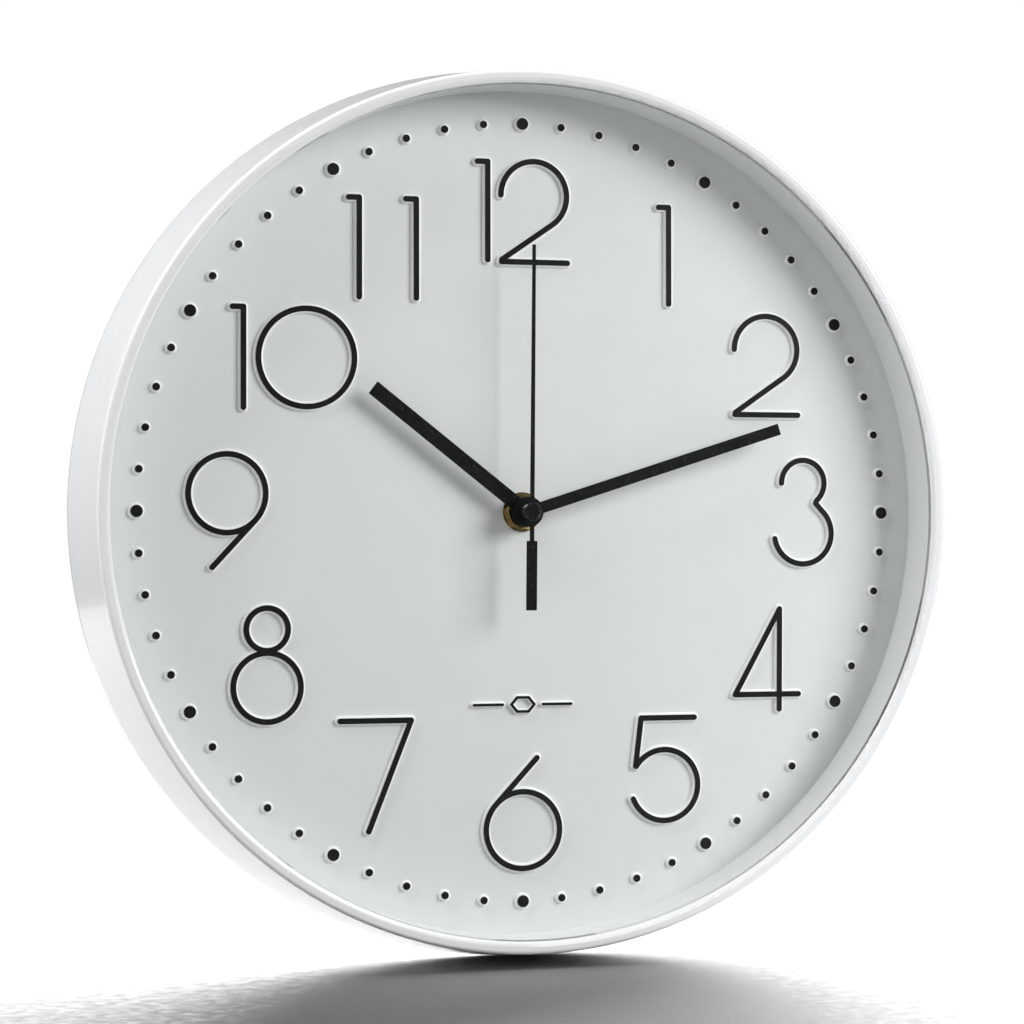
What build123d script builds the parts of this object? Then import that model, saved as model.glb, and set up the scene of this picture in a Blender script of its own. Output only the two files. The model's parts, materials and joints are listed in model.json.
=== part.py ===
from build123d import *
import os
from math import atan2, asin, ceil, cos, degrees, hypot, pi, radians, sin

# A round quartz wall clock, 300 mm across: a moulded case ring, a flat lens, a dial with raised
# numerals, three hands, and a battery movement behind the dial.
#
# Every piece is drawn with the clock lying on its back: +X right, +Y towards 12 o'clock, and Z is
# the distance forward of the wall. stand_up() turns that into the model's own frame, where +Z is
# up and the dial faces -Y. The origin is where the hands' axis meets the wall. Millimetres.

# ---------------------------------------------------------------- driving dimensions
DOT_CIRCLE_R = 130.0

# case, lens and dial, by radius and by distance from the wall
CASE_DEPTH = 40.0
CASE_WIDEST_R = 149.8
CASE_WIDEST_Z = 6.2
CASE_FRONT_R = 145.6
CASE_REAR_BORE_R = 147.3
LIP_BORE_R = 141.3
LIP_REAR_Z = 38.6
STACK_R = 142.7
STACK_BORE_R = 142.95
LENS_THICKNESS = 1.2
DIAL_FACE_Z = 20.9
DIAL_THICKNESS = 2.0
RING_WALL_R = 140.9
COVER_R = 147.0
COVER_THICKNESS = 2.2

# raised marks on the dial
PLINTH_HEIGHT = 1.1
PLINTH_DRAFT = 18.0
INK_HEIGHT = 0.2
STROKE = 1.85
STROKE_PLINTH = 3.2
HOUR_DOT_R = 2.0
MINUTE_DOT_R = 1.25
DOT_PLINTH_MARGIN = 0.7
MOTIF_Y = -64.3
MOTIF_HALF = 17.0
MOTIF_STROKE = 0.9
MOTIF_PLINTH = 1.9

# hands: length, width, angle clockwise from 12 at rest, and the height of each blade
HOUR_LENGTH, HOUR_WIDTH, HOUR_ANGLE = 66.5, 4.88, 307.8
MINUTE_LENGTH, MINUTE_WIDTH, MINUTE_ANGLE = 93.6, 3.87, 72.35
SECOND_LENGTH, SECOND_ANGLE = 88.6, 0.5
SECOND_ROOT_WIDTH, SECOND_TIP_WIDTH = 1.5, 1.15
WEIGHT_START, WEIGHT_END, WEIGHT_WIDTH = 9.7, 32.7, 3.66
HOUR_BLADE_Z = (25.8, 26.4)
MINUTE_BLADE_Z = (28.9, 29.4)
SECOND_BLADE_Z = (32.6, 32.95)
BLADE_BOSS_R = 5.0
CAP_R = 3.1
CAP_FRONT_Z = 33.75

# coaxial shafts through the dial, each with RUN clearance in the next one out
RUN = 0.07
SECOND_SHAFT_R = 0.55
MINUTE_TUBE_R = 1.6
HOUR_TUBE_R = 2.5
BUSHING_R = 4.0
BUSHING_FRONT_Z = 24.4
DIAL_HOLE_R = 4.2
NUT_FLATS = 11.1
NUT_CORNER_R = 6.2
NUT_TURN = -7.0
NUT_HEIGHT = 2.3
NUT_WASHER_R = 6.65
NUT_WASHER = 0.4

# movement: a square moulded box with the battery bay along its foot
BOX = 56.0
BOX_CORNER_R = 4.0
BOX_WALL = 1.4
BOX_REAR_Z = 1.9
BOX_SEAM_Z = 9.9
BOX_FRONT_Z = 17.9
FLOOR = 1.5
BAY_TOP_Y = -11.4
BAY_FLOOR = 1.0
PARTITION = 1.2
STRIP_GAP = 1.2
WINDOW = 64.0
CELL_R, CELL_LENGTH = 7.15, 49.5
NUB_R, NUB_LENGTH = 2.75, 1.0
CONTACT = 0.4

# gear train: tooth counts, modules and arbors
SECOND_TEETH, STEP_PINION, STEP_MODULE = 60, 12, 0.25
STEP_TEETH, ROTOR_PINION, ROTOR_MODULE = 48, 8, 0.25
THIRD_TEETH, SECOND_PINION = 60, 8
CENTRE_TEETH, THIRD_PINION = 64, 8
MINUTE_TEETH, CANNON_TEETH = 36, 12
HOUR_TEETH, MINUTE_PINION = 40, 10
THIRD_DISTANCE = 9.2
MINUTE_DISTANCE = 10.08
ARBOR_R = 0.5
PIVOT_R = 0.35
KNOB_SHAFT_R = 0.7
KNOB_R = 5.0

# keyhole that the clock hangs from
KEYHOLE_Y = 112.0
KEYHOLE_R = 4.5
KEYHOLE_SLOT_R = 2.2
KEYHOLE_RISE = 9.0
KEYHOLE_BOSS = 3.4

# ---------------------------------------------------------------- values worked out from them
FLOOR_FRONT_Z = BOX_FRONT_Z - FLOOR
FLOOR_REAR_Z = BOX_REAR_Z + FLOOR
DIAL_BACK_Z = DIAL_FACE_Z - DIAL_THICKNESS
LENS_REAR_Z = LIP_REAR_Z - LENS_THICKNESS
INK_Z = DIAL_FACE_Z + PLINTH_HEIGHT


def polar(distance, angle):
    """The point at that distance and at that angle, counter-clockwise from +X."""
    return distance * cos(radians(angle)), distance * sin(radians(angle))


def clock_point(radius, turn):
    """The point at that radius and at a fraction of a turn clockwise from 12."""
    return radius * sin(2 * pi * turn), radius * cos(2 * pi * turn)


CENTRE = (0.0, 0.0)
STEP_ANGLE = 110.0
ROTOR_ANGLE = 57.0
THIRD_ANGLE = 0.0
MINUTE_ARBOR_ANGLE = 170.0
STEP_DISTANCE = STEP_MODULE * (SECOND_TEETH + STEP_PINION) / 2
ROTOR_DISTANCE = ROTOR_MODULE * (STEP_TEETH + ROTOR_PINION) / 2
THIRD_MODULE = 2 * THIRD_DISTANCE / (THIRD_TEETH + SECOND_PINION)
CENTRE_MODULE = 2 * THIRD_DISTANCE / (CENTRE_TEETH + THIRD_PINION)
MINUTE_MODULE = 2 * MINUTE_DISTANCE / (MINUTE_TEETH + CANNON_TEETH)
HOUR_MODULE = 2 * MINUTE_DISTANCE / (HOUR_TEETH + MINUTE_PINION)
STEP_AXIS = polar(STEP_DISTANCE, STEP_ANGLE)
ROTOR_OFFSET = polar(ROTOR_DISTANCE, ROTOR_ANGLE)
ROTOR_AXIS = (STEP_AXIS[0] + ROTOR_OFFSET[0], STEP_AXIS[1] + ROTOR_OFFSET[1])
THIRD_AXIS = polar(THIRD_DISTANCE, THIRD_ANGLE)
MINUTE_AXIS = polar(MINUTE_DISTANCE, MINUTE_ARBOR_ANGLE)


# ---------------------------------------------------------------- drawing helpers
def stand_up(shape):
    """From lying on its back to standing: the dial, which faced +Z, faces -Y."""
    return Rot(90, 0, 0) * shape


def save(name, shape):
    export_step(stand_up(shape), f"parts/{name}.step")


def rod(radius, low, high, axis=CENTRE):
    """A round bar from one distance off the wall to another."""
    return extrude(Pos(axis[0], axis[1], low) * Circle(radius), amount=high - low)


def ring(outer, inner, low, high, axis=CENTRE):
    """A round bar with a bore."""
    outline = Circle(outer) - Circle(inner)
    return extrude(Pos(axis[0], axis[1], low) * outline, amount=high - low)


def slab(width, height, low, high, centre=CENTRE, corner=0.0):
    """A rectangular plate, with rounded corners if a radius is given."""
    outline = RectangleRounded(width, height, corner) if corner else Rectangle(width, height)
    return extrude(Pos(centre[0], centre[1], low) * outline, amount=high - low)


def block(left, right, bottom, top, low, high):
    """A rectangular block by its sides."""
    return slab(right - left, top - bottom, low, high, ((left + right) / 2, (bottom + top) / 2))


def turned(points, axis=CENTRE):
    """A piece turned about the hands' axis from a profile of radius and distance off the wall."""
    profile = make_face(Polyline(*[(radius, 0, z) for radius, z in points], close=True))
    return Pos(axis[0], axis[1], 0) * revolve(profile, Axis.Z)


def all_round(count, radius, make):
    """One copy of what make() draws at each of count places round the hands' axis, from 12."""
    return [make(clock_point(radius, index / count)) for index in range(count)]


# ---------------------------------------------------------------- numerals, as strokes
# A stroke is ("line", start, end), ("arc", centre, radius, from angle, to angle) or
# ("ring", centre, radius), along its centre line, from the numeral's lower left corner.
DIGIT_HEIGHT = 32.8
FLAG = 3.6
BOWL_R = 12.8
TAIL = (4.9, 24.05)


def tangent_angle(centre, radius, point, side):
    """Where the line from the point touches the circle, as an angle about its centre."""
    dx, dy = point[0] - centre[0], point[1] - centre[1]
    away = degrees(atan2(dy, dx))
    return away + side * (90 - degrees(asin(radius / hypot(dx, dy))))


def on_circle(centre, radius, angle):
    x, y = polar(radius, angle)
    return centre[0] + x, centre[1] + y


def digit_one():
    top = (0, DIGIT_HEIGHT)
    return [("line", (-FLAG, DIGIT_HEIGHT), top), ("line", top, (0, 0))]


def digit_two():
    centre, radius, foot = (11.3, 22.3), 11.5, (0.1, 0.7)
    touch = tangent_angle(centre, radius, foot, 1)
    return [
        ("arc", centre, radius, touch, 180),
        ("line", on_circle(centre, radius, touch), foot),
        ("line", (0, 0), (23.1, 0)),
    ]


def digit_three():
    upper, upper_r, upper_end = (10.5, 27.8), 7.85, -50
    lower, lower_r, lower_end = (10.5, 10.5), 10.5, 48
    waist = (15.2, 20.9)
    return [
        ("arc", upper, upper_r, upper_end, 180),
        ("line", on_circle(upper, upper_r, upper_end), waist),
        ("line", waist, on_circle(lower, lower_r, lower_end)),
        ("arc", lower, lower_r, -170, lower_end),
    ]


def digit_four():
    apex, elbow = (16.3, 34.3), (0, 5.1)
    return [("line", apex, elbow), ("line", elbow, (23.2, 5.1)), ("line", apex, (16.1, 0))]


def digit_five():
    shoulder, hip = (3.7, 34.8), (1.7, 18.6)
    return [
        ("line", shoulder, (22.8, 34.8)),
        ("line", shoulder, hip),
        ("arc", (12, 12), 12, -158, 147),
    ]


def digit_six():
    centre = (BOWL_R, BOWL_R)
    tip = (centre[0] + TAIL[0], centre[1] + TAIL[1])
    touch = tangent_angle(centre, BOWL_R, tip, 1)
    return [("ring", centre, BOWL_R), ("line", tip, on_circle(centre, BOWL_R, touch))]


def digit_seven():
    corner = (24.1, 36.4)
    return [("line", (0, 36.4), corner), ("line", corner, (9.7, 0))]


def digit_eight():
    return [("ring", (11.25, 11.25), 11.25), ("ring", (11.25, 30.2), 6.95)]


def digit_nine():
    centre = (BOWL_R, TAIL[1] + 0.4)
    tip = (centre[0] - TAIL[0], centre[1] - TAIL[1])
    touch = tangent_angle(centre, BOWL_R, tip, 1)
    return [("ring", centre, BOWL_R), ("line", tip, on_circle(centre, BOWL_R, touch))]


def digit_zero():
    return [("ring", (16.1, 16.1), 16.1)]


# each numeral's digits and the place of each digit's lower left corner on the dial
NUMERALS = {
    1: [(digit_one, 51.9, 70.8)],
    2: [(digit_two, 75.9, 33.55)],
    3: [(digit_three, 90.3, -17.6)],
    4: [(digit_four, 75.8, -67.3)],
    5: [(digit_five, 38.1, -104.4)],
    6: [(digit_six, -12.8, -119.05)],
    7: [(digit_seven, -62.7, -105.3)],
    8: [(digit_eight, -98.35, -68.7)],
    9: [(digit_nine, -113.2, -18.6)],
    10: [(digit_one, -95.0, 33.9), (digit_zero, -90.05, 34.35)],
    11: [(digit_one, -56.2, 70.8), (digit_one, -36.75, 70.8)],
    12: [(digit_one, -12.1, 84.2), (digit_two, -7.3, 83.7)],
}


def moved(stroke, x, y):
    """The same stroke with the numeral's corner at (x, y)."""
    if stroke[0] == "line":
        return ("line", *[(px + x, py + y) for px, py in stroke[1:]])
    centre = (stroke[1][0] + x, stroke[1][1] + y)
    return (stroke[0], centre, *stroke[2:])


def numeral_strokes(hour):
    return [moved(s, x, y) for digit, x, y in NUMERALS[hour] for s in digit()]


def motif_strokes():
    """A hexagonal crystal outline between two bars."""
    corners = [(4.0 * cos(radians(a)), MOTIF_Y + 2.7 * sin(radians(a))) for a in range(0, 360, 60)]
    sides = [("line", corners[i - 1], corners[i]) for i in range(6)]
    bars = [("line", (side * 7.0, MOTIF_Y), (side * MOTIF_HALF, MOTIF_Y)) for side in (-1, 1)]
    return sides + bars


def stroke_outline(stroke, width):
    """The flat outline of one stroke, with round ends."""
    if stroke[0] == "ring":
        outline = Circle(stroke[2] + width / 2) - Circle(stroke[2] - width / 2)
        return Pos(*stroke[1]) * outline
    if stroke[0] == "arc":
        centre, radius, low, high = stroke[1:]
        return SlotArc(CenterArc(centre, radius, low, high - low), width)
    (x0, y0), (x1, y1) = stroke[1:]
    slot = SlotCenterToCenter(hypot(x1 - x0, y1 - y0), width, rotation=degrees(atan2(y1 - y0, x1 - x0)))
    return Pos((x0 + x1) / 2, (y0 + y1) / 2) * slot


def ink(strokes, width=STROKE):
    """The dark top of a raised mark."""
    outline = Sketch() + [stroke_outline(s, width) for s in strokes]
    return extrude(Pos(0, 0, INK_Z) * outline, amount=INK_HEIGHT)


def plinths(strokes, width=STROKE_PLINTH):
    """The drafted body of a raised mark, one solid for each stroke."""
    return [
        extrude(Pos(0, 0, DIAL_FACE_Z) * stroke_outline(s, width), PLINTH_HEIGHT, taper=PLINTH_DRAFT)
        for s in strokes
    ]


# ---------------------------------------------------------------- dial
def minute_places(hours):
    """The twelve hour places of the dot circle, or the other forty-eight."""
    return [clock_point(DOT_CIRCLE_R, m / 60) for m in range(60) if (m % 5 == 0) == hours]


def dot_plinth(radius, place):
    top = radius + DOT_PLINTH_MARGIN / 2
    cone = Cone(radius + DOT_PLINTH_MARGIN, top, PLINTH_HEIGHT, align=(Align.CENTER, Align.CENTER, Align.MIN))
    return Pos(place[0], place[1], DIAL_FACE_Z) * cone


def dial_plate():
    plate = ring(STACK_R, DIAL_HOLE_R, DIAL_BACK_Z, DIAL_FACE_Z)
    raised = []
    for hour in NUMERALS:
        raised += plinths(numeral_strokes(hour))
    raised += plinths(motif_strokes(), MOTIF_PLINTH)
    raised += [dot_plinth(HOUR_DOT_R, place) for place in minute_places(True)]
    raised += [dot_plinth(MINUTE_DOT_R, place) for place in minute_places(False)]
    return plate + raised


def dots(radius, hours):
    return Part() + [rod(radius, INK_Z, INK_Z + INK_HEIGHT, p) for p in minute_places(hours)]


# ---------------------------------------------------------------- case
SCREW_COUNT = 6
SCREW_CIRCLE_R = 144.9
SCREW_BOSS_R = 1.9
SCREW_R = 0.85
SCREW_HEAD_R = 1.75
SCREW_HEAD = 1.0
SCREW_LENGTH = 9.0
BOSS_FRONT_Z = 16.0


def case_profile():
    """Half section of the case ring: a flared side, a narrow rounded lip and a hollow back."""
    outside = [
        ThreePointArc((CASE_REAR_BORE_R + 0.9, 0), (149.3, 2.2), (CASE_WIDEST_R, CASE_WIDEST_Z)),
        Line((CASE_WIDEST_R, CASE_WIDEST_Z), (CASE_FRONT_R, CASE_DEPTH - 1.3)),
        ThreePointArc((CASE_FRONT_R, CASE_DEPTH - 1.3), (145.2, CASE_DEPTH - 0.35), (144.3, CASE_DEPTH)),
    ]
    lip = [
        Line((144.3, CASE_DEPTH), (143.0, CASE_DEPTH - 0.05)),
        ThreePointArc((143.0, CASE_DEPTH - 0.05), (141.85, CASE_DEPTH - 0.45), (LIP_BORE_R, CASE_DEPTH - 1.1)),
        Line((LIP_BORE_R, CASE_DEPTH - 1.1), (LIP_BORE_R, LIP_REAR_Z)),
    ]
    inside = Polyline(
        (LIP_BORE_R, LIP_REAR_Z),
        (STACK_BORE_R, LIP_REAR_Z),
        (STACK_BORE_R, 30.0),
        (CASE_REAR_BORE_R, 12.0),
        (CASE_REAR_BORE_R, 0),
        (CASE_REAR_BORE_R + 0.9, 0),
    )
    return make_face(outside + lip + [inside])


def case_boss(place):
    """A screw boss with a web that ties it to the case wall."""
    turn = degrees(atan2(place[1], place[0]))
    web = block(SCREW_CIRCLE_R, CASE_REAR_BORE_R + 0.6, -0.9, 0.9, COVER_THICKNESS, BOSS_FRONT_Z)
    return rod(SCREW_BOSS_R, COVER_THICKNESS, BOSS_FRONT_Z, place) + Rot(0, 0, turn) * web


def case_ring():
    shell = revolve(Plane.XZ * case_profile(), Axis.Z)
    bosses = all_round(SCREW_COUNT, SCREW_CIRCLE_R, case_boss)
    holes = all_round(
        SCREW_COUNT,
        SCREW_CIRCLE_R,
        lambda place: rod(SCREW_R, COVER_THICKNESS - 1, SCREW_LENGTH + 1, place),
    )
    return shell + bosses - holes


def keyhole(low, high):
    """Round entry with a narrow slot above it."""
    entry = rod(KEYHOLE_R, low, high, (0, KEYHOLE_Y))
    slot = block(-KEYHOLE_SLOT_R, KEYHOLE_SLOT_R, KEYHOLE_Y, KEYHOLE_Y + KEYHOLE_RISE, low, high)
    return entry + slot + rod(KEYHOLE_SLOT_R, low, high, (0, KEYHOLE_Y + KEYHOLE_RISE))


SUPPORT_R = (140.4, 142.3)
RIB_END_R = SUPPORT_R[0] - 0.1
KEYHOLE_PAD = (22.0, 32.0)


def back_cover():
    """Flat cover with stiffening ribs, a keyhole and a window for the movement."""
    plate = rod(COVER_R, 0, COVER_THICKNESS)
    frame = slab(WINDOW + 5, WINDOW + 5, COVER_THICKNESS, COVER_THICKNESS + 3, corner=BOX_CORNER_R + 2)
    pad_centre = (0, KEYHOLE_Y + KEYHOLE_RISE / 2)
    pad = slab(KEYHOLE_PAD[0], KEYHOLE_PAD[1], COVER_THICKNESS, KEYHOLE_BOSS, pad_centre, 4)
    window = slab(WINDOW, WINDOW, -1, COVER_THICKNESS + 4, corner=BOX_CORNER_R)
    ribs = [
        Rot(0, 0, turn) * block(50, RIB_END_R, -0.8, 0.8, COVER_THICKNESS, COVER_THICKNESS + 2.5)
        for turn in range(0, 360, 30)
        if turn != 90
    ]
    holes = all_round(
        SCREW_COUNT,
        SCREW_CIRCLE_R,
        lambda place: rod(SCREW_R + 0.1, -1, COVER_THICKNESS + 1, place),
    )
    sinks = all_round(
        SCREW_COUNT,
        SCREW_CIRCLE_R,
        lambda place: rod(SCREW_HEAD_R + 0.1, -1, SCREW_HEAD + 0.1, place),
    )
    solid = plate + [frame, pad] + ribs
    return solid - [window, keyhole(-1, KEYHOLE_BOSS + 1)] - holes - sinks


def case_screw(place):
    """Pan-head screw from the rear, with a cross slot in its head."""
    slot = block(-1.1, 1.1, -0.2, 0.2, 0, 0.6) + block(-0.2, 0.2, -1.1, 1.1, 0, 0.6)
    head = rod(SCREW_HEAD_R, 0.1, SCREW_HEAD + 0.1) - slot
    return Pos(place[0], place[1], 0) * (head + rod(SCREW_R, SCREW_HEAD + 0.1, SCREW_LENGTH))


# ---------------------------------------------------------------- hands
def pointing(angle, shape):
    """A hand drawn towards 12, turned clockwise to its rest angle."""
    return Rot(0, 0, -angle) * shape


def blade(length, width, hole, heights, angle):
    """A flat hand with parallel sides, a square end and a round boss."""
    outline = Circle(BLADE_BOSS_R) + Pos(0, length / 2) * Rectangle(width, length) - Circle(hole)
    return pointing(angle, extrude(Pos(0, 0, heights[0]) * outline, amount=heights[1] - heights[0]))


def hand_hub(bore, neck, flange, rear, blade_z, front):
    """A riveted hub: a flange behind the blade, a neck through it and a rolled edge in front."""
    return turned(
        [
            (bore, rear),
            (flange, rear),
            (flange, blade_z[0]),
            (neck, blade_z[0]),
            (neck, blade_z[1]),
            (neck + 0.5, blade_z[1]),
            (neck + 0.5, front - 0.2),
            (neck + 0.3, front),
            (bore, front),
        ]
    )


def second_blade():
    low, high = SECOND_BLADE_Z
    half_root, half_tip = SECOND_ROOT_WIDTH / 2, SECOND_TIP_WIDTH / 2
    needle = make_face(
        Polyline(
            (-half_root, -WEIGHT_START),
            (half_root, -WEIGHT_START),
            (half_root, 0),
            (half_tip, SECOND_LENGTH),
            (-half_tip, SECOND_LENGTH),
            (-half_root, 0),
            close=True,
        )
    )
    weight = Pos(0, -(WEIGHT_START + WEIGHT_END) / 2) * Rectangle(WEIGHT_WIDTH, WEIGHT_END - WEIGHT_START)
    outline = needle + weight + Circle(CAP_R - 0.5) - Circle(1.1)
    return pointing(SECOND_ANGLE, extrude(Pos(0, 0, low) * outline, amount=high - low))


def second_cap():
    """The second hand's tube and its dished cap with a raised rim."""
    low, high = SECOND_BLADE_Z
    rim = CAP_FRONT_Z
    return turned(
        [
            (SECOND_SHAFT_R, 30.4),
            (1.1, 30.4),
            (1.1, high),
            (CAP_R - 0.15, high),
            (CAP_R, high + 0.2),
            (CAP_R, rim - 0.25),
            (CAP_R - 0.25, rim),
            (CAP_R - 0.45, rim),
            (CAP_R - 0.7, rim - 0.3),
            (0, rim - 0.25),
            (0, high + 0.15),
            (SECOND_SHAFT_R, high + 0.15),
        ]
    )


# ---------------------------------------------------------------- fixing on the dial
def threaded_bushing():
    """Flanged bushing with a screw thread drawn as rings."""
    low, pitch, depth = 18.3, 0.75, 0.3
    turns = ceil((BUSHING_FRONT_Z - low) / pitch)
    thread = []
    for turn in range(turns - 1):
        z = low + turn * pitch
        thread += [(BUSHING_R, z), (BUSHING_R - depth, z + pitch / 2)]
    bore = HOUR_TUBE_R + RUN
    return turned(
        [(bore, 15.6), (5.5, 15.6), (5.5, FLOOR_FRONT_Z), (BUSHING_R, FLOOR_FRONT_Z)]
        + thread
        + [(BUSHING_R - depth, BUSHING_FRONT_Z), (bore, BUSHING_FRONT_Z)]
    )


def hex_nut():
    low = DIAL_FACE_Z + NUT_WASHER
    high = low + NUT_HEIGHT
    outline = Rot(0, 0, NUT_TURN) * RegularPolygon(NUT_FLATS / 2, 6, major_radius=False)
    prism = extrude(Pos(0, 0, low) * outline, amount=NUT_HEIGHT)
    chamfered = turned(
        [
            (BUSHING_R + RUN, low),
            (NUT_CORNER_R, low),
            (NUT_CORNER_R, high - 0.6),
            (NUT_FLATS / 2 - 0.3, high),
            (BUSHING_R + 0.5, high),
            (BUSHING_R + RUN, high - 0.4),
        ]
    )
    return prism & chamfered


# ---------------------------------------------------------------- gears
TOOTH_ROOT, TOOTH_TIP = 0.28, 0.10
LEAF_ROOT, LEAF_TIP = 0.25, 0.12


def gear_outline(teeth, module, phase, pinion=False):
    """Straight-flanked clock teeth, one of them centred on the angle called phase."""
    root_share, tip_share = (LEAF_ROOT, LEAF_TIP) if pinion else (TOOTH_ROOT, TOOTH_TIP)
    pitch = 360 / teeth
    root, tip = module * (teeth / 2 - 1.2), module * (teeth / 2 + 0.9)
    points = []
    for tooth in range(teeth):
        middle = phase + tooth * pitch
        points.append(polar(root, middle - root_share * pitch))
        points.append(polar(tip, middle - tip_share * pitch))
        points.append(polar(tip, middle + tip_share * pitch))
        points.append(polar(root, middle + root_share * pitch))
    return make_face(Polyline(*points, close=True))


def gear(teeth, module, low, high, axis, phase, bore=0.0, holes=0, pinion=False):
    """A gear, with a bore and with lightening holes round it if asked for."""
    outline = gear_outline(teeth, module, phase, pinion)
    if bore:
        outline -= Circle(bore)
    middle = module * teeth / 4
    for index in range(holes):
        outline -= Pos(*polar(middle, 360 * index / holes)) * Circle(middle * 0.38)
    return extrude(Pos(axis[0], axis[1], low) * outline, amount=high - low)


def mesh_phase(teeth, driver_teeth, driver_phase, direction):
    """The phase that puts a gear in mesh with the driver, which lies behind it in that direction."""
    driver_share = (direction - driver_phase) * driver_teeth / 360
    return direction + 180 - (0.5 - driver_share) * 360 / teeth


SECOND_PHASE = 0.0
STEP_PINION_PHASE = mesh_phase(STEP_PINION, SECOND_TEETH, SECOND_PHASE, STEP_ANGLE)
STEP_PHASE = 0.0
ROTOR_PHASE = mesh_phase(ROTOR_PINION, STEP_TEETH, STEP_PHASE, ROTOR_ANGLE)
SECOND_PINION_PHASE = 0.0
THIRD_PHASE = mesh_phase(THIRD_TEETH, SECOND_PINION, SECOND_PINION_PHASE, THIRD_ANGLE)
CENTRE_PHASE = 0.0
THIRD_PINION_PHASE = mesh_phase(THIRD_PINION, CENTRE_TEETH, CENTRE_PHASE, THIRD_ANGLE)
CANNON_PHASE = 0.0
MINUTE_PHASE = mesh_phase(MINUTE_TEETH, CANNON_TEETH, CANNON_PHASE, MINUTE_ARBOR_ANGLE)
HOUR_PHASE = 0.0
MINUTE_PINION_PHASE = mesh_phase(MINUTE_PINION, HOUR_TEETH, HOUR_PHASE, MINUTE_ARBOR_ANGLE)

PIVOT_REAR_Z, PIVOT_FRONT_Z = 2.7, 17.1
SHOULDER = 0.2


def arbor(axis):
    """A thin shaft between the two housings, with a finer pivot at each end."""
    shaft = rod(ARBOR_R, FLOOR_REAR_Z + SHOULDER, FLOOR_FRONT_Z - SHOULDER, axis)
    return shaft + rod(PIVOT_R, PIVOT_REAR_Z, PIVOT_FRONT_Z, axis)


def second_wheel():
    """Wheel, pinion and the long shaft that carries the second hand."""
    wheel = gear(SECOND_TEETH, STEP_MODULE, 5.0, 5.8, CENTRE, SECOND_PHASE, holes=5)
    pinion = gear(SECOND_PINION, THIRD_MODULE, 6.2, 7.7, CENTRE, SECOND_PINION_PHASE, pinion=True)
    shaft = rod(SECOND_SHAFT_R, FLOOR_REAR_Z + SHOULDER, SECOND_BLADE_Z[1] + 0.1)
    return wheel + pinion + rod(1.0, 4.4, 6.2) + shaft + rod(PIVOT_R, PIVOT_REAR_Z, 4.0)


def step_wheel():
    wheel = gear(STEP_TEETH, ROTOR_MODULE, 7.0, 7.8, STEP_AXIS, STEP_PHASE, holes=4)
    pinion = gear(STEP_PINION, STEP_MODULE, 4.6, 6.4, STEP_AXIS, STEP_PINION_PHASE, pinion=True)
    return wheel + pinion + rod(1.0, 6.4, 8.4, STEP_AXIS) + arbor(STEP_AXIS)


def rotor_pinion():
    pinion = gear(ROTOR_PINION, ROTOR_MODULE, 6.6, 8.2, ROTOR_AXIS, ROTOR_PHASE, pinion=True)
    return pinion + arbor(ROTOR_AXIS)


def third_wheel():
    wheel = gear(THIRD_TEETH, THIRD_MODULE, 6.5, 7.3, THIRD_AXIS, THIRD_PHASE, holes=5)
    pinion = gear(THIRD_PINION, CENTRE_MODULE, 7.9, 10.2, THIRD_AXIS, THIRD_PINION_PHASE, pinion=True)
    return wheel + pinion + rod(0.9, 7.3, 7.9, THIRD_AXIS) + arbor(THIRD_AXIS)


def centre_wheel():
    bore = SECOND_SHAFT_R + RUN
    wheel = gear(CENTRE_TEETH, CENTRE_MODULE, 8.5, 9.3, CENTRE, CENTRE_PHASE, bore, holes=5)
    return wheel + ring(1.5, bore, 8.0, 9.6)


def clutch_spring():
    """Three-armed friction spring between the centre wheel and the cannon pinion."""
    outline = Circle(1.5)
    for turn in (0, 120, 240):
        outline += Rot(0, 0, turn) * Pos(1.7, 0) * Rectangle(2.6, 0.9)
    outline -= Circle(SECOND_SHAFT_R + RUN)
    return extrude(Pos(0, 0, 9.6) * outline, amount=0.2)


def cannon_pinion():
    """Pinion and tube that carry the minute hand."""
    bore = SECOND_SHAFT_R + RUN
    pinion = gear(CANNON_TEETH, MINUTE_MODULE, 10.4, 12.3, CENTRE, CANNON_PHASE, bore, pinion=True)
    return pinion + ring(2.6, bore, 9.95, 10.4) + ring(MINUTE_TUBE_R, bore, 12.3, 29.9)


def minute_wheel():
    """Wheel and pinion of the motion work, on the setting knob's shaft."""
    wheel = gear(MINUTE_TEETH, MINUTE_MODULE, 10.8, 11.8, MINUTE_AXIS, MINUTE_PHASE, holes=4)
    pinion = gear(MINUTE_PINION, HOUR_MODULE, 12.4, 14.4, MINUTE_AXIS, MINUTE_PINION_PHASE, pinion=True)
    hub = rod(1.3, 11.8, 12.4, MINUTE_AXIS)
    shaft = rod(KNOB_SHAFT_R, KNOB_Z[0] + 0.6, FLOOR_FRONT_Z - SHOULDER, MINUTE_AXIS)
    return wheel + pinion + hub + shaft + rod(PIVOT_R, 15, PIVOT_FRONT_Z, MINUTE_AXIS)


def hour_wheel():
    """Wheel and tube that carry the hour hand."""
    bore = MINUTE_TUBE_R + RUN
    wheel = gear(HOUR_TEETH, HOUR_MODULE, 13.0, 14.0, CENTRE, HOUR_PHASE, bore, holes=5)
    return wheel + ring(HOUR_TUBE_R, bore, 14.0, HOUR_BLADE_Z[1] + 0.5)


KNOB_Z = (2.1, 3.7)
KNOB_CUP_R = 5.7
KNOB_CUP_FLOOR = (3.95, 4.75)


def setting_knob():
    """Knurled wheel with a finger slot, turned from the back to set the hands."""
    knob = rod(KNOB_R, *KNOB_Z) - block(-3.5, 3.5, -0.6, 0.6, 0, KNOB_Z[0] + 0.6)
    for index in range(24):
        knob -= rod(0.35, *KNOB_Z, polar(KNOB_R + 0.1, 15 * index))
    return Pos(*MINUTE_AXIS) * knob - rod(KNOB_SHAFT_R, KNOB_Z[0] + 0.6, 9, MINUTE_AXIS)


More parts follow.
